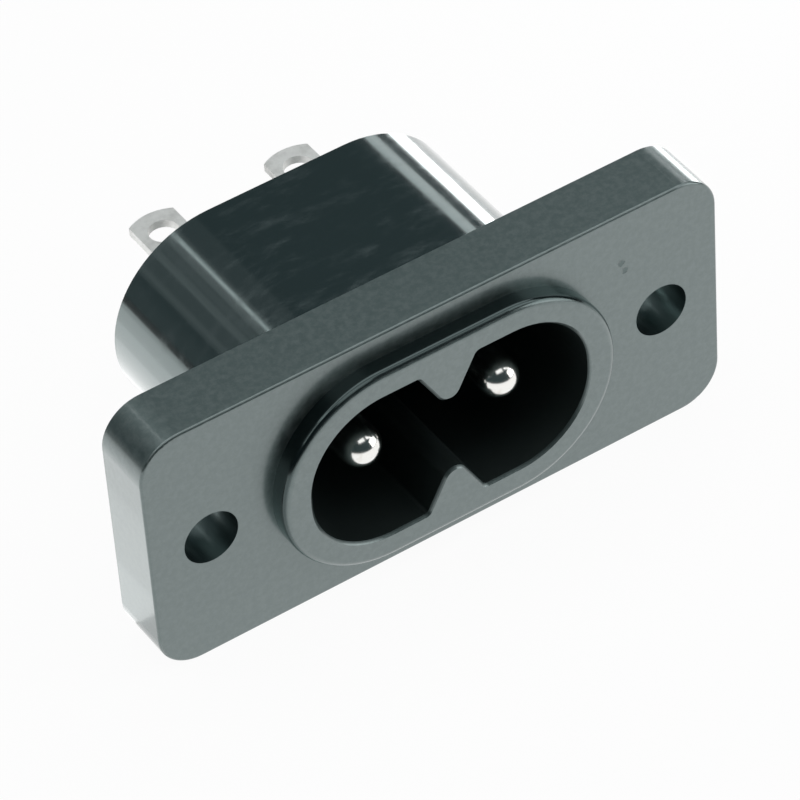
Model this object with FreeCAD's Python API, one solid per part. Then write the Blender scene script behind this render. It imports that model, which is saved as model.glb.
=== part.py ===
import FreeCAD, Part
import math
import os

# Figure eight mains inlet with a screw flange, two contact pins and two solder tags.
# Millimetres. X runs along the flange, Y from the mating side to the rear, Z up.
# The origin is the centre of the screw pattern, on the front face of the flange.

# Figure eight recess with a ridge above and below its waist
recess_length = 17.1
recess_height = 9.55
recess_depth = 11.4
recess_end_flat = 0.45
recess_rim_bevel = 0.15
ridge_base_width = 3.6
ridge_height = 2.35
ridge_tip_radius = 0.78
ridge_root_radius = 0.3

# Raised collar round the mouth, which locates the inlet in its panel
collar_end_wall = 1.75
collar_long_wall = 1.625
collar_rise = 1.16
collar_edge_radius = 0.4

# Rear body
body_end_wall = 2.025
body_long_wall = 1.55
body_edge_bevel = 0.12

# Screw flange
flange_past_collar = 1.5
flange_thickness = 3.75
flange_corner_radius = 2.4
flange_front_edge_radius = 0.15
flange_rear_edge_bevel = 0.1
screw_hole_diameter = 3.2
screw_hole_to_collar = 2.1
screw_hole_to_end = 2.05

# Contact pins
pin_pitch = 8.6
pin_diameter = 2.4
pin_tip_setback = 1.1
pin_shoulder_step = 0.3
pin_shoulder_length = 1.5
pin_seat_clearance = 0.02
pin_tail_diameter = 0.9
web_thickness = 2.36
rivet_head_diameter = 1.2
rivet_head_height = 0.25
rivet_head_bevel = 0.12
rivet_below_rear = 0.15

# Solder tags, bent from strip
tag_width = 2.8
tag_thickness = 0.5
tag_bend_inner_radius = 0.15
tag_bend_to_rivet = 0.05
tag_reach = 6.6
tag_end_bulge = 0.4
tag_hole_diameter = 1.75
tag_hole_from_end = 1.7
tag_pocket_clearance = 0.25
tag_pocket_corner_radius = 0.3

# Outer sizes that follow from the recess and the walls round it
collar_length = recess_length + 2 * collar_end_wall
collar_height = recess_height + 2 * collar_long_wall
body_length = recess_length + 2 * body_end_wall
body_height = recess_height + 2 * body_long_wall
screw_spacing = collar_length + 2 * screw_hole_to_collar + screw_hole_diameter
flange_length = screw_spacing + screw_hole_diameter + 2 * screw_hole_to_end
flange_height = collar_height + 2 * flange_past_collar

# Places along Y, from the mating side to the rear
collar_front = -collar_rise
flange_rear = flange_thickness
pin_tip = collar_front + pin_tip_setback
recess_floor = collar_front + recess_depth
pin_seat_floor = recess_floor + pin_shoulder_length
tag_seat = pin_seat_floor + web_thickness
rivet_seat = tag_seat + tag_thickness
rivet_end = rivet_seat + rivet_head_height
body_rear = rivet_end + rivet_below_rear
tag_end = body_rear + tag_reach

# Sizes of the bent tags
tag_bend_outer_radius = tag_bend_inner_radius + tag_thickness
tag_top_height = rivet_head_diameter / 2 + tag_bend_to_rivet + tag_bend_outer_radius

sides = {"left": -1, "right": 1}

# How far a cutting or joining shape runs past the face it crosses
overrun = 1.0


def point(x, y, z):
    return FreeCAD.Vector(x, y, z)


def rounded_outline(length, height, corner_radius, y):
    """Upright rounded rectangle about the Y axis; a radius of half the height gives an obround."""
    centre_x = length / 2 - corner_radius
    centre_z = height / 2 - corner_radius
    corners = [(centre_x, centre_z, 0), (-centre_x, centre_z, 90),
               (-centre_x, -centre_z, 180), (centre_x, -centre_z, 270)]
    arcs = []
    for x, z, start_angle in corners:
        on_arc = []
        for turn in (0, 45, 90):
            angle = math.radians(start_angle + turn)
            on_arc.append(point(x + corner_radius * math.cos(angle), y,
                                z + corner_radius * math.sin(angle)))
        arcs.append(on_arc)
    edges = []
    for index, on_arc in enumerate(arcs):
        edges.append(Part.Arc(*on_arc).toShape())
        next_start = arcs[(index + 1) % len(arcs)][0]
        if on_arc[2].distanceToPoint(next_start) > 1e-6:
            edges.append(Part.makeLine(on_arc[2], next_start))
    return Part.Wire(edges)


def obround(length, height, y):
    return rounded_outline(length, height, height / 2, y)


def prism(wire, depth):
    return Part.Face(wire).extrude(point(0, depth, 0))


def cylinder(diameter, start, depth, axis=(0, 1, 0)):
    return Part.makeCylinder(diameter / 2, depth, point(*start), point(*axis))


def edges_in_plane(shape, y, half_length=None, half_height=None):
    """Edges lying in the plane at y, all of them or those inside a box about the axis."""
    found = []
    for edge in shape.Edges:
        box = edge.BoundBox
        if abs(box.YMin - y) > 1e-4 or abs(box.YMax - y) > 1e-4:
            continue
        if half_length and max(-box.XMin, box.XMax) > half_length + 1e-3:
            continue
        if half_height and max(-box.ZMin, box.ZMax) > half_height + 1e-3:
            continue
        found.append(edge)
    return found


def make_flange():
    outline = rounded_outline(flange_length, flange_height, flange_corner_radius, 0)
    flange = prism(outline, flange_thickness)
    flange = flange.makeFillet(flange_front_edge_radius, edges_in_plane(flange, 0))
    flange = flange.makeChamfer(flange_rear_edge_bevel, edges_in_plane(flange, flange_rear))
    for side in sides.values():
        x = side * screw_spacing / 2
        flange = flange.cut(cylinder(screw_hole_diameter, (x, -overrun, 0),
                                     flange_thickness + 2 * overrun))
    return flange


def make_collar():
    collar = prism(obround(collar_length, collar_height, collar_front), collar_rise + overrun)
    return collar.makeFillet(collar_edge_radius, edges_in_plane(collar, collar_front))


def make_rear_body():
    start = flange_rear - overrun
    body = prism(obround(body_length, body_height, start), body_rear - start)
    return body.makeChamfer(body_edge_bevel, edges_in_plane(body, body_rear))


def ridge_section(direction):
    """Wedge with a round tip, pointing from the recess wall towards the axis."""
    wall = recess_height / 2
    half_base = ridge_base_width / 2
    tip = wall - ridge_height
    tip_centre = tip + ridge_tip_radius
    reach = math.hypot(half_base, wall - tip_centre)
    tangent_angle = (math.atan2(wall - tip_centre, half_base)
                     - math.acos(ridge_tip_radius / reach))
    tangent_x = ridge_tip_radius * math.cos(tangent_angle)
    tangent_z = tip_centre + ridge_tip_radius * math.sin(tangent_angle)

    def at(x, z):
        return point(x, collar_front - overrun, direction * z)

    tip_arc = Part.Arc(at(-tangent_x, tangent_z), at(0, tip), at(tangent_x, tangent_z))
    right_side = [at(tangent_x, tangent_z), at(half_base, wall), at(half_base, wall + overrun)]
    left_side = [at(-half_base, wall + overrun), at(-half_base, wall), at(-tangent_x, tangent_z)]
    rest = Part.makePolygon(right_side + left_side)
    return Part.Wire([tip_arc.toShape()] + rest.Edges)


def make_recess():
    """The hollow that the plug enters, as a solid to be cut away."""
    start = collar_front - overrun
    corner_radius = (recess_height - recess_end_flat) / 2
    outline = rounded_outline(recess_length, recess_height, corner_radius, start)
    hollow = prism(outline, recess_depth + overrun)
    for direction in (1, -1):
        hollow = hollow.cut(prism(ridge_section(direction), recess_depth + 2 * overrun))
    roots = []
    for edge in hollow.Edges:
        box = edge.BoundBox
        runs_deep = box.YLength > recess_depth / 2
        at_root = (abs(abs(box.Center.x) - ridge_base_width / 2) < 1e-3
                   and abs(abs(box.Center.z) - recess_height / 2) < 1e-3)
        if runs_deep and at_root:
            roots.append(edge)
    return hollow.makeFillet(ridge_root_radius, roots)


def make_housing():
    housing = make_flange().fuse([make_collar(), make_rear_body()]).removeSplitter()
    housing = housing.cut(make_recess())
    mouth = edges_in_plane(housing, collar_front, recess_length / 2, recess_height / 2)
    housing = housing.makeChamfer(recess_rim_bevel, mouth)
    pocket_length = tag_width + 2 * tag_pocket_clearance
    pocket_height = 2 * (tag_top_height + tag_pocket_clearance)
    for side in sides.values():
        x = side * pin_pitch / 2
        seat = cylinder(pin_diameter + 2 * (pin_shoulder_step + pin_seat_clearance),
                        (x, recess_floor - overrun, 0), pin_shoulder_length + overrun)
        tail_hole = cylinder(pin_tail_diameter + 2 * pin_seat_clearance,
                             (x, pin_seat_floor - overrun, 0), web_thickness + 2 * overrun)
        outline = rounded_outline(pocket_length, pocket_height, tag_pocket_corner_radius, tag_seat)
        outline.translate(point(x, 0, 0))
        pocket = prism(outline, body_rear - tag_seat + overrun)
        housing = housing.cut([seat, tail_hole, pocket])
    return housing


def make_pin(side):
    """Turned pin: domed tip, shank, seated shoulder, and thin tail riveted over the tag."""
    x = side * pin_pitch / 2
    shank = pin_diameter / 2
    shoulder = shank + pin_shoulder_step
    tail = pin_tail_diameter / 2
    head = rivet_head_diameter / 2

    def at(radius, y):
        return point(x + radius, y, 0)

    dome_middle = math.radians(45)
    dome = Part.Arc(at(0, pin_tip),
                    at(shank * math.sin(dome_middle), pin_tip + shank * (1 - math.cos(dome_middle))),
                    at(shank, pin_tip + shank))
    rest = Part.makePolygon([at(shank, pin_tip + shank), at(shank, recess_floor),
                             at(shoulder, recess_floor), at(shoulder, pin_seat_floor),
                             at(tail, pin_seat_floor), at(tail, rivet_seat),
                             at(head, rivet_seat), at(head, rivet_end - rivet_head_bevel),
                             at(head - rivet_head_bevel, rivet_end), at(0, rivet_end),
                             at(0, pin_tip)])
    profile = Part.Face(Part.Wire([dome.toShape()] + rest.Edges))
    return profile.revolve(point(x, 0, 0), point(0, 1, 0), 360)


def make_tag(side):
    """Strip bent at a right angle: a riveted foot and an arm that runs out to the rear."""
    x = side * pin_pitch / 2
    left = x - tag_width / 2
    arm_under = tag_top_height - tag_thickness
    bend_start = tag_top_height - tag_bend_outer_radius
    bend_end = tag_seat + tag_bend_outer_radius

    def at(y, z):
        return point(left, y, z)

    def bend(radius):
        angle = math.radians(45)
        return Part.Arc(at(bend_end - radius, bend_start),
                        at(bend_end - radius * math.cos(angle), bend_start + radius * math.sin(angle)),
                        at(bend_end, bend_start + radius)).toShape()

    outer_bend = bend(tag_bend_outer_radius)
    inner_bend = bend(tag_bend_inner_radius)
    top = Part.makePolygon([at(bend_end, tag_top_height), at(tag_end, tag_top_height),
                            at(tag_end, arm_under), at(bend_end, arm_under)])
    foot = Part.makePolygon([at(rivet_seat, bend_start), at(rivet_seat, -tag_top_height),
                             at(tag_seat, -tag_top_height), at(tag_seat, bend_start)])
    section = Part.Face(Part.Wire([outer_bend] + top.Edges + [inner_bend] + foot.Edges))
    tag = section.extrude(point(tag_width, 0, 0))

    corner_y = tag_end - tag_end_bulge
    below = -tag_top_height - overrun
    end_arc = Part.Arc(point(left, corner_y, below), point(x, tag_end, below),
                       point(left + tag_width, corner_y, below))
    plan = Part.makePolygon([point(left + tag_width, corner_y, below),
                             point(left + tag_width, tag_seat - overrun, below),
                             point(left, tag_seat - overrun, below), point(left, corner_y, below)])
    blank = Part.Face(Part.Wire([end_arc.toShape()] + plan.Edges))
    tag = tag.common(blank.extrude(point(0, 0, 2 * (tag_top_height + overrun))))
    wire_hole = cylinder(tag_hole_diameter, (x, tag_end - tag_hole_from_end, below),
                         2 * (tag_top_height + overrun), axis=(0, 0, 1))
    rivet_hole = cylinder(pin_tail_diameter + 2 * pin_seat_clearance, (x, tag_seat - overrun, 0),
                          tag_thickness + 2 * overrun)
    return tag.cut([wire_hole, rivet_hole])


def save(name, shape):
    solid = shape.Solids[0] if len(shape.Solids) == 1 else shape
    print(name, "solids", len(shape.Solids), "valid", solid.isValid(),
          "volume", round(solid.Volume, 3))
    solid.exportStep("parts/" + name + ".step")


os.makedirs("parts", exist_ok=True)
save("housing", make_housing())
for side_name, side_sign in sides.items():
    save("contact_pin_" + side_name, make_pin(side_sign))
    save("solder_tag_" + side_name, make_tag(side_sign))
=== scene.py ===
import math

import bpy
from mathutils import Matrix, Vector


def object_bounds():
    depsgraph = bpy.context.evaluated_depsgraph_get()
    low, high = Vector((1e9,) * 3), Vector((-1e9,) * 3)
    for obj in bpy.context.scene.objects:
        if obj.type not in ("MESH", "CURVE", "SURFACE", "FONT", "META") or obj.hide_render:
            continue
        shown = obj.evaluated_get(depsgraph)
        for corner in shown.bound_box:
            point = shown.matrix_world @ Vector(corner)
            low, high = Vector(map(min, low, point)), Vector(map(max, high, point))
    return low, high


# Looks of a black figure eight mains inlet: one textured and polished moulding,
# two polished contact pins and two stamped solder tags, on a plain white floor.
# Metres, in the part's own frame: X along the flange, Y to the rear, Z up.

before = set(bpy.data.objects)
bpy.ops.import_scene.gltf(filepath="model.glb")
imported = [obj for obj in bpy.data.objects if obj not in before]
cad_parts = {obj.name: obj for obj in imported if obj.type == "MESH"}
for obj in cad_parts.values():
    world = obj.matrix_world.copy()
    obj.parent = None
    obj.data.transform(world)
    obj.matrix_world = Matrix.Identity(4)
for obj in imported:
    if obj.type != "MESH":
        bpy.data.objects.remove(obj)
cad_low, cad_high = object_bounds()

MM = 0.001
IMAGE_PIXELS = 800
SENSOR_WIDTH_MM = 36.0
WHITE = (1.0, 1.0, 1.0, 1.0)
UP = Vector((0.0, 0.0, 1.0))

# Camera, solved from the photograph
camera_azimuth = -30.83
camera_elevation = 43.56
camera_roll = -4.30
camera_distance = 274.6 * MM
camera_aim = Vector((-1.27, 1.77, 0.91)) * MM
focal_length_pixels = 5331.0

# Sizes of the part that its finishes follow. The recess's finish ends between its floor and the
# rear face.
collar_front = cad_low.y
rim_bevel = 0.15 * MM
flange_rear = 3.75 * MM
recess_half_length = 8.75 * MM
recess_half_height = 5.0 * MM
recess_end = 12.5 * MM
screw_hole_x = 14.0 * MM
screw_hole_radius = 1.6 * MM

# Small steps off a face, so that a finish or a card starts clear of it
skin = 0.02 * MM
hairline = 0.002 * MM


def direction(azimuth, elevation):
    """Unit vector; azimuth 0 points to the front (-Y), 90 to the right (+X), in degrees."""
    a = math.radians(azimuth)
    e = math.radians(elevation)
    return Vector((math.sin(a) * math.cos(e), -math.cos(a) * math.cos(e), math.sin(e)))


towards_camera = direction(camera_azimuth, camera_elevation)


# Node helpers

class Nodes:
    """Builds one shader tree from short calls. Any value may be a number, a colour or a socket."""

    def __init__(self, tree):
        self.tree = tree
        tree.nodes.clear()

    def feed(self, socket, value):
        """Links the socket to another one, or sets it."""
        if isinstance(value, bpy.types.NodeSocket):
            self.tree.links.new(value, socket)
        else:
            socket.default_value = value

    def add(self, kind, **inputs):
        """A node with its inputs fed; they are named with _ for spaces."""
        made = self.tree.nodes.new("ShaderNode" + kind)
        for name, value in inputs.items():
            self.feed(made.inputs[name.replace("_", " ")], value)
        return made

    def math(self, operation, first, second=0.0, third=0.0, clamp=False):
        made = self.tree.nodes.new("ShaderNodeMath")
        made.operation = operation
        made.use_clamp = clamp
        for socket, value in zip(made.inputs, (first, second, third)):
            self.feed(socket, value)
        return made.outputs[0]

    def distance(self, place, point):
        """Distance of a place from a fixed point."""
        made = self.add("VectorMath", Vector=place)
        made.operation = "DISTANCE"
        made.inputs[1].default_value = point
        return made.outputs["Value"]

    def noise(self, place, scale, detail=3.0, roughness=0.5):
        """Noise from 0 to 1, with so many cells in a metre."""
        made = self.add("TexNoise", Vector=place, Scale=scale, Detail=detail, Roughness=roughness)
        return made.outputs["Fac"]

    def stretched(self, place, scale):
        """The place with each axis scaled, for streaks along an axis."""
        made = self.add("Mapping", Vector=place, Scale=scale)
        return made.outputs["Vector"]

    def ramp(self, value, start, end):
        """Rises smoothly from 0 at the start to 1 at the end."""
        made = self.tree.nodes.new("ShaderNodeMapRange")
        made.interpolation_type = "SMOOTHSTEP"
        self.feed(made.inputs["Value"], value)
        self.feed(made.inputs["From Min"], start)
        self.feed(made.inputs["From Max"], end)
        return made.outputs["Result"]

    def blend(self, share, first, second):
        """Mix of two colours."""
        made = self.tree.nodes.new("ShaderNodeMix")
        made.data_type = "RGBA"
        share_input, first_input, second_input, colour_output = 0, 6, 7, 2
        self.feed(made.inputs[share_input], share)
        self.feed(made.inputs[first_input], first)
        self.feed(made.inputs[second_input], second)
        return made.outputs[colour_output]

    def bump(self, height, strength, distance, under=None):
        """Normal with a relief on it, laid over the one under it."""
        made = self.add("Bump", Height=height, Strength=strength, Distance=distance)
        if under is not None:
            self.feed(made.inputs["Normal"], under)
        return made.outputs["Normal"]

    def principled(self, **inputs):
        """The surface shader, as the material's output."""
        surface = self.add("BsdfPrincipled", **inputs)
        self.add("OutputMaterial", Surface=surface.outputs[0])


def new_material(name):
    material = bpy.data.materials.new(name)
    material.use_nodes = True
    return material, Nodes(material.node_tree)


def dress(node_name, material):
    """Gives a carried-over node its material in every slot."""
    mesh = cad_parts[node_name].data
    if not mesh.materials:
        mesh.materials.append(material)
    for index in range(len(mesh.materials)):
        mesh.materials[index] = material


# Black plastic: fine matt texture on the flange and the collar's face, polished on the rear body,
# less glossy and with painted shade on the collar's wall, dull in the screw holes, and dull and painted
# near black as shade in the recess

plastic_ior = 1.8
plastic_specular = 1.0
plastic_tint = (0.78, 1.0, 0.985, 1.0)
coat_roughness = 0.15
coat_ior = 1.5

# Matt texture
matt_dark = (0.008, 0.012, 0.012, 1.0)
matt_light = (0.050, 0.057, 0.056, 1.0)
matt_roughness = 0.34
matt_roughness_spread = 0.08
mottle_scale = 2400.0
mottle_start = 0.35
mottle_end = 0.68
grain_scale = 9000.0
grain_strength = 0.02
grain_depth = 0.02 * MM

# Polished body, with scuffs and the marks of the mould's drag along it
polished_colour = (0.007, 0.011, 0.012, 1.0)
polished_roughness = 0.09
scuffed_colour = (0.028, 0.034, 0.036, 1.0)
scuffed_roughness = 0.14
scuff_scale = 900.0
scuff_stretch = (0.35, 1.0, 0.6)
scuff_start = 0.46
scuff_end = 0.74
drag_scale = 2600.0
drag_stretch = (1.0, 0.03, 1.0)
drag_strength = 0.35
drag_depth = 0.01 * MM

# Collar's wall, recess and screw holes; the collar's wall and the recess carry painted shade
collar_roughness = 0.14
# Painted shade on the collar's wall: its metallic share darkens the wall's reflections
collar_wall_painted_shade_share = 0.5
recess_roughness = 0.50
recess_painted_shade_share = 0.5
recess_painted_shade_colour = (0.001, 0.003, 0.003, 1.0)
hole_roughness = 0.29

# Two small rubbed specks on the flange, left of and above the right screw hole
speck_places = ((11.58 * MM, 0.0, 4.66 * MM), (11.76 * MM, 0.0, 4.04 * MM))
speck_radius = 0.46 * MM
speck_core = 0.2 * speck_radius
speck_colour = (0.004, 0.005, 0.005, 1.0)
speck_scale = 3500.0
speck_start = 0.30
speck_end = 0.46
speck_strength = 0.6
speck_depth = -0.05 * MM


def in_circle(nodes, first, second, radius):
    """1 where two offsets lie within a circle of that radius, and 0 elsewhere."""
    first_squared = nodes.math("MULTIPLY", first, first)
    second_squared = nodes.math("MULTIPLY", second, second)
    squared = nodes.math("ADD", first_squared, second_squared)
    return nodes.math("LESS_THAN", squared, radius ** 2)


def finish_places(nodes, x, y, z):
    """Shares of the collar's wall, the recess, the screw holes and the rear body."""
    past_rim = nodes.ramp(y, collar_front + skin, collar_front + rim_bevel)
    before_flange = nodes.math("LESS_THAN", y, -hairline)
    before_end = nodes.math("LESS_THAN", y, recess_end)
    behind_flange = nodes.math("GREATER_THAN", y, flange_rear + skin)

    # An obround is all that lies within its half height of its middle line
    along = nodes.math("ABSOLUTE", x)
    past_line = nodes.math("SUBTRACT", along, recess_half_length - recess_half_height)
    past_line = nodes.math("MAXIMUM", past_line, 0.0)
    in_outline = in_circle(nodes, past_line, z, recess_half_height)
    recess = nodes.math("MULTIPLY", nodes.math("MULTIPLY", in_outline, past_rim), before_end)
    outside = nodes.math("SUBTRACT", 1.0, recess)

    collar = nodes.math("MULTIPLY", nodes.math("MULTIPLY", past_rim, before_flange), outside)
    hole = in_circle(nodes, nodes.math("SUBTRACT", along, screw_hole_x), z, screw_hole_radius + skin)
    body = nodes.math("MULTIPLY", behind_flange, outside)
    return collar, recess, hole, body


def speck_share(nodes, place):
    """Share of the two ragged specks."""
    ragged = nodes.noise(place, speck_scale, roughness=0.6)
    share = 0.0
    for speck in speck_places:
        disc = nodes.ramp(nodes.distance(place, speck), speck_radius, speck_core)
        inside = nodes.ramp(nodes.math("MULTIPLY", disc, ragged), speck_start, speck_end)
        share = nodes.math("MAXIMUM", inside, share)
    return share


def plastic():
    material, nodes = new_material("black_plastic")
    place = nodes.add("TexCoord").outputs["Object"]
    x, y, z = nodes.add("SeparateXYZ", Vector=place).outputs
    collar, recess, hole, body = finish_places(nodes, x, y, z)
    uncoated = nodes.math("MAXIMUM", collar, nodes.math("MAXIMUM", recess, hole))
    smooth = nodes.math("MAXIMUM", body, uncoated)
    matt = nodes.math("SUBTRACT", 1.0, smooth)

    grain = nodes.noise(place, grain_scale)
    mottle = nodes.noise(place, mottle_scale, detail=5.0, roughness=0.7)
    drag = nodes.noise(nodes.stretched(place, drag_stretch), drag_scale)
    scuff = nodes.noise(nodes.stretched(place, scuff_stretch), scuff_scale, detail=6.0, roughness=0.7)
    scuffed = nodes.math("MULTIPLY", nodes.ramp(scuff, scuff_start, scuff_end), body)
    speck = speck_share(nodes, place)

    matt_colour = nodes.blend(nodes.ramp(mottle, mottle_start, mottle_end), matt_dark, matt_light)
    smooth_colour = nodes.blend(scuffed, polished_colour, scuffed_colour)
    colour = nodes.blend(smooth, matt_colour, smooth_colour)
    # Painted shade: the recess is coloured near black, as if shade filled it
    colour = nodes.blend(recess, colour, recess_painted_shade_colour)
    colour = nodes.blend(speck, colour, speck_colour)

    mottle_offset = nodes.math("SUBTRACT", mottle, 0.5)
    matt_finish = nodes.math("MULTIPLY_ADD", mottle_offset, matt_roughness_spread, matt_roughness)
    body_finish = nodes.math("MULTIPLY_ADD", scuffed, scuffed_roughness, polished_roughness)
    roughness = 0.0
    for share, finish in ((matt, matt_finish), (body, body_finish), (collar, collar_roughness),
                          (recess, recess_roughness), (hole, hole_roughness)):
        roughness = nodes.math("MULTIPLY_ADD", share, finish, roughness)

    normal = nodes.bump(nodes.math("MULTIPLY", grain, matt), grain_strength, grain_depth)
    normal = nodes.bump(nodes.math("MULTIPLY", drag, body), drag_strength, drag_depth, under=normal)
    normal = nodes.bump(speck, speck_strength, speck_depth, under=normal)

    # A metallic share on so dark a colour takes gloss away: painted shade on the collar's wall and in
    # the recess
    dimmed = nodes.math("MULTIPLY", recess, recess_painted_shade_share)
    dimmed = nodes.math("MULTIPLY_ADD", collar, collar_wall_painted_shade_share, dimmed)
    coat = nodes.math("SUBTRACT", 1.0, nodes.math("MAXIMUM", speck, uncoated))
    nodes.principled(Base_Color=colour, Roughness=roughness, Metallic=dimmed, Normal=normal,
                     IOR=plastic_ior, Specular_IOR_Level=plastic_specular, Specular_Tint=plastic_tint,
                     Coat_Weight=coat, Coat_Roughness=coat_roughness, Coat_IOR=coat_ior)
    return material


# Nickel-plated pins, turned and polished

pin_colour = (0.93, 0.92, 0.89, 1.0)
pin_shade = (0.80, 0.77, 0.71, 1.0)
pin_roughness = 0.13
stain_roughness = 0.08
stain_scale = 1500.0
stain_start = 0.5
stain_end = 0.85
turning_scale = 12000.0
turning_stretch = (0.15, 1.0, 0.15)
turning_strength = 0.02
turning_depth = 0.01 * MM


def nickel():
    material, nodes = new_material("plated_pin")
    place = nodes.add("TexCoord").outputs["Object"]
    turning = nodes.noise(nodes.stretched(place, turning_stretch), turning_scale)
    stain = nodes.noise(place, stain_scale)
    colour = nodes.blend(nodes.ramp(stain, stain_start, stain_end), pin_colour, pin_shade)
    roughness = nodes.math("MULTIPLY_ADD", stain, stain_roughness, pin_roughness)
    normal = nodes.bump(turning, turning_strength, turning_depth)
    nodes.principled(Base_Color=colour, Metallic=1.0, Roughness=roughness, Normal=normal)
    return material


# Tinned strip of the solder tags, dull, with rolling lines along it

tag_colour = (0.88, 0.88, 0.86, 1.0)
tag_shade = (0.70, 0.70, 0.68, 1.0)
tag_metallic = 0.5
tag_roughness = 0.38
cloud_roughness = 0.2
cloud_scale = 1100.0
cloud_start = 0.35
cloud_end = 0.75
rolling_scale = 9000.0
rolling_stretch = (1.0, 0.04, 1.0)
rolling_strength = 0.15
rolling_depth = 0.01 * MM


def tinned_strip():
    material, nodes = new_material("tinned_strip")
    place = nodes.add("TexCoord").outputs["Object"]
    rolling = nodes.noise(nodes.stretched(place, rolling_stretch), rolling_scale)
    cloud = nodes.noise(place, cloud_scale, detail=4.0, roughness=0.6)
    colour = nodes.blend(nodes.ramp(cloud, cloud_start, cloud_end), tag_colour, tag_shade)
    roughness = nodes.math("MULTIPLY_ADD", cloud, cloud_roughness, tag_roughness)
    normal = nodes.bump(rolling, rolling_strength, rolling_depth)
    nodes.principled(Base_Color=colour, Metallic=tag_metallic, Roughness=roughness, Normal=normal)
    return material


dress("housing", plastic())
pin_finish = nickel()
tag_finish = tinned_strip()
for side in ("left", "right"):
    dress("contact_pin_" + side, pin_finish)
    dress("solder_tag_" + side, tag_finish)


# Floor: white to the camera and in near reflections, with a faint shadow. Reflections see a white
# sheet that ends a little way from the part, and a dim floor beyond it.

floor_half_width = 3.0
floor_shadow_share = 0.05
floor_colour = (0.92, 0.92, 0.92, 1.0)
sheet_radius = 118.0 * MM
sheet_fade = 6.0 * MM
beyond_sheet = 0.10


def floor_material():
    material, nodes = new_material("floor_white")
    path = nodes.add("LightPath").outputs
    seen = nodes.math("ADD", path["Is Camera Ray"], path["Is Glossy Ray"])
    seen = nodes.math("ADD", seen, path["Is Transmission Ray"], clamp=True)
    glow_share = nodes.math("MULTIPLY", seen, 1.0 - floor_shadow_share)

    place = nodes.add("TexCoord").outputs["Object"]
    beyond = nodes.ramp(nodes.distance(place, (0.0, 0.0, 0.0)), sheet_radius, sheet_radius + sheet_fade)
    not_camera = nodes.math("SUBTRACT", 1.0, path["Is Camera Ray"])
    dimmed = nodes.math("MULTIPLY", beyond, not_camera)
    glow_strength = nodes.math("MULTIPLY_ADD", dimmed, beyond_sheet - 1.0, 1.0)

    lit = nodes.add("BsdfDiffuse", Color=floor_colour)
    glow = nodes.add("Emission", Color=WHITE, Strength=glow_strength)
    mixed = nodes.add("MixShader", Fac=glow_share)
    nodes.feed(mixed.inputs[1], lit.outputs[0])
    nodes.feed(mixed.inputs[2], glow.outputs[0])
    nodes.add("OutputMaterial", Surface=mixed.outputs[0])
    return material


def make_floor():
    half = floor_half_width
    z = cad_low.z
    corners = [(-half, -half, z), (half, -half, z), (half, half, z), (-half, half, z)]
    mesh = bpy.data.meshes.new("floor")
    mesh.from_pydata(corners, [], [(0, 1, 2, 3)])
    mesh.materials.append(floor_material())
    floor = bpy.data.objects.new("floor", mesh)
    bpy.context.scene.collection.objects.link(floor)


make_floor()


# World: white to the camera, and a dim room to the part, darkest in front and lightest low behind

room_front = (0.030, 0.044, 0.047, 1.0)
room_rear = (0.070, 0.100, 0.105, 1.0)
room_low = (0.120, 0.150, 0.155, 1.0)

# Where one part of the room turns into the next, by the Y and Z of a direction
rear_start = -0.1
rear_end = 0.5
low_rear_start = 0.0
low_start = 0.5
low_end = 0.1


def make_world():
    world = bpy.data.worlds.new("studio")
    bpy.context.scene.world = world
    world.use_nodes = True
    nodes = Nodes(world.node_tree)
    towards = nodes.add("TexCoord").outputs["Generated"]
    y, z = nodes.add("SeparateXYZ", Vector=towards).outputs[1:]
    room = nodes.blend(nodes.ramp(y, rear_start, rear_end), room_front, room_rear)
    is_low = nodes.ramp(z, low_start, low_end)
    rear_low = nodes.math("MULTIPLY", is_low, nodes.ramp(y, low_rear_start, rear_end))
    room = nodes.blend(rear_low, room, room_low)
    seen = nodes.add("LightPath").outputs["Is Camera Ray"]
    background = nodes.add("Background", Color=nodes.blend(seen, room, WHITE), Strength=1.0)
    nodes.add("OutputWorld", Surface=background.outputs[0])


make_world()


# Lamps

far = 0.50
near = 0.08
body_light_height = 0.12
along_part = Vector((1.0, 0.0, 0.0))


def add_panel(name, centre, width, height, radiance, across=None, faces=None):
    """Soft rectangular lamp at a place, facing the part unless told otherwise.

    Its radiance is what a mirror would show. The width runs level, or as nearly along the
    vector across as it can.
    """
    light = bpy.data.lights.new(name, "AREA")
    light.shape = "RECTANGLE"
    light.size = width
    light.size_y = height
    light.energy = radiance * math.pi * width * height
    lamp = bpy.data.objects.new(name, light)
    out = -(faces or -centre).normalized()
    side = (across or Vector((-out.y, out.x, 0.0))).copy()
    side = (side - side.dot(out) * out).normalized()
    turn = Matrix((side, out.cross(side), out)).transposed()
    lamp.matrix_world = Matrix.Translation(centre) @ turn.to_4x4()
    bpy.context.scene.collection.objects.link(lamp)
    return lamp


def mirrored_by_body(lean):
    """Direction the camera sees in the rear body where its surface leans left by so many degrees."""
    normal = Vector((-math.sin(math.radians(lean)), 0.0, math.cos(math.radians(lean))))
    return 2.0 * towards_camera.dot(normal) * normal - towards_camera


def add_body_light(name, first_lean, last_lean, radiance):
    """Lamp whose reflection fills the body's surface between two leans."""
    first = mirrored_by_body(first_lean)
    last = mirrored_by_body(last_lean)
    across = first - last
    centre = (first + last) / 2.0 * far
    add_panel(name, centre, across.length * far, body_light_height, radiance, across)


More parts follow.
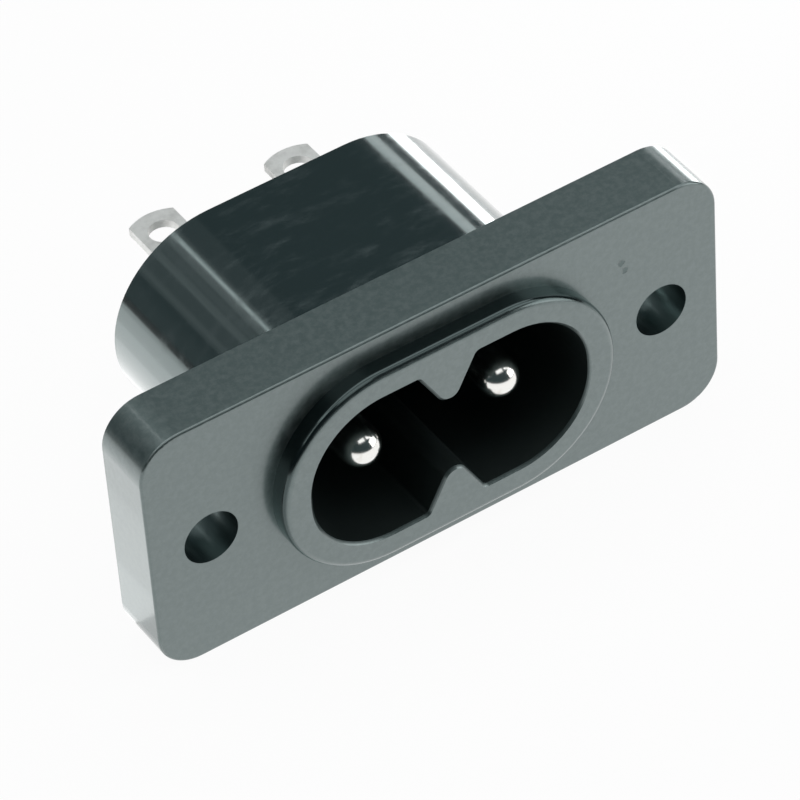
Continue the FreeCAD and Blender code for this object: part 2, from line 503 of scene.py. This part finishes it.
# Panels overhead: behind, in front, at the right, and one that the pins' tips mirror
add_panel("overhead_rear", Vector((0.0, 0.34, 0.94)) * far, width=1.00, height=0.26,
          radiance=1.35, across=along_part)
add_panel("overhead_front", Vector((0.05, -0.18, 0.98)) * far, width=1.00, height=0.18,
          radiance=0.95, across=along_part)
add_panel("overhead_right", Vector((0.62, -0.34, 0.71)) * far, width=0.26, height=0.18,
          radiance=1.2, across=along_part)
add_panel("overhead_pins", Vector((-0.06, -0.48, 0.87)) * far, width=0.30, height=0.22,
          radiance=1.0, across=along_part)

# Panels at the sides, by azimuth and elevation
add_panel("overhead_left", direction(-82.0, 40.0) * far, width=0.13, height=0.30, radiance=1.0)
add_panel("front_right", direction(55.0, 15.0) * far, width=0.35, height=0.30, radiance=2.0)
add_panel("right_stripe", direction(134.0, 21.5) * far, width=0.20, height=0.085, radiance=1.3)
add_panel("right_band", direction(129.0, 1.5) * near, width=0.05, height=0.019, radiance=5.0)

# Soft lights at the rear left, drawn out along the body by its shape: name, the two leans that
# each lies between, and radiance
for name, first_lean, last_lean, radiance in (("rear_skirt", 8.0, 18.0, 0.045),
                                              ("rear_line", 20.5, 22.1, 1.1),
                                              ("rear_line_side", 19.5, 25.5, 0.16),
                                              ("rear_fold", 27.0, 30.0, 0.04),
                                              ("rear_middle", 31.2, 34.5, 0.10),
                                              ("rear_glow", 18.5, 34.0, 0.12),
                                              ("rear_glow_low", 34.0, 45.5, 0.10),
                                              ("rear_edge", 41.5, 44.0, 0.07)):
    add_body_light(name, first_lean, last_lean, radiance)

# Bright cards lie on the floor at the left rear, out of the camera's sight
card_right = -9.0 * MM
card_front = 4.0 * MM
for name, width, depth, radiance in (("left_card_far", 50.0 * MM, 60.0 * MM, 0.24),
                                     ("left_card_near", 20.0 * MM, 30.0 * MM, 0.38)):
    centre = Vector((card_right - width / 2.0, card_front + depth / 2.0, cad_low.z + skin))
    card = add_panel(name, centre, width, depth, radiance, across=along_part, faces=UP)
    card.visible_camera = False


# Camera

def make_camera():
    data = bpy.data.cameras.new("camera")
    data.sensor_width = SENSOR_WIDTH_MM
    data.lens = focal_length_pixels * SENSOR_WIDTH_MM / IMAGE_PIXELS
    data.clip_start = 0.01
    data.clip_end = 20.0
    camera = bpy.data.objects.new("camera", data)
    level = (-towards_camera).to_track_quat("-Z", "Y").to_matrix().to_4x4()
    turned = Matrix.Rotation(math.radians(camera_roll), 4, "Z")
    place = Matrix.Translation(camera_aim + towards_camera * camera_distance)
    camera.matrix_world = place @ level @ turned
    bpy.context.scene.collection.objects.link(camera)
    bpy.context.scene.camera = camera


make_camera()
bpy.context.scene.view_settings.view_transform = "Standard"
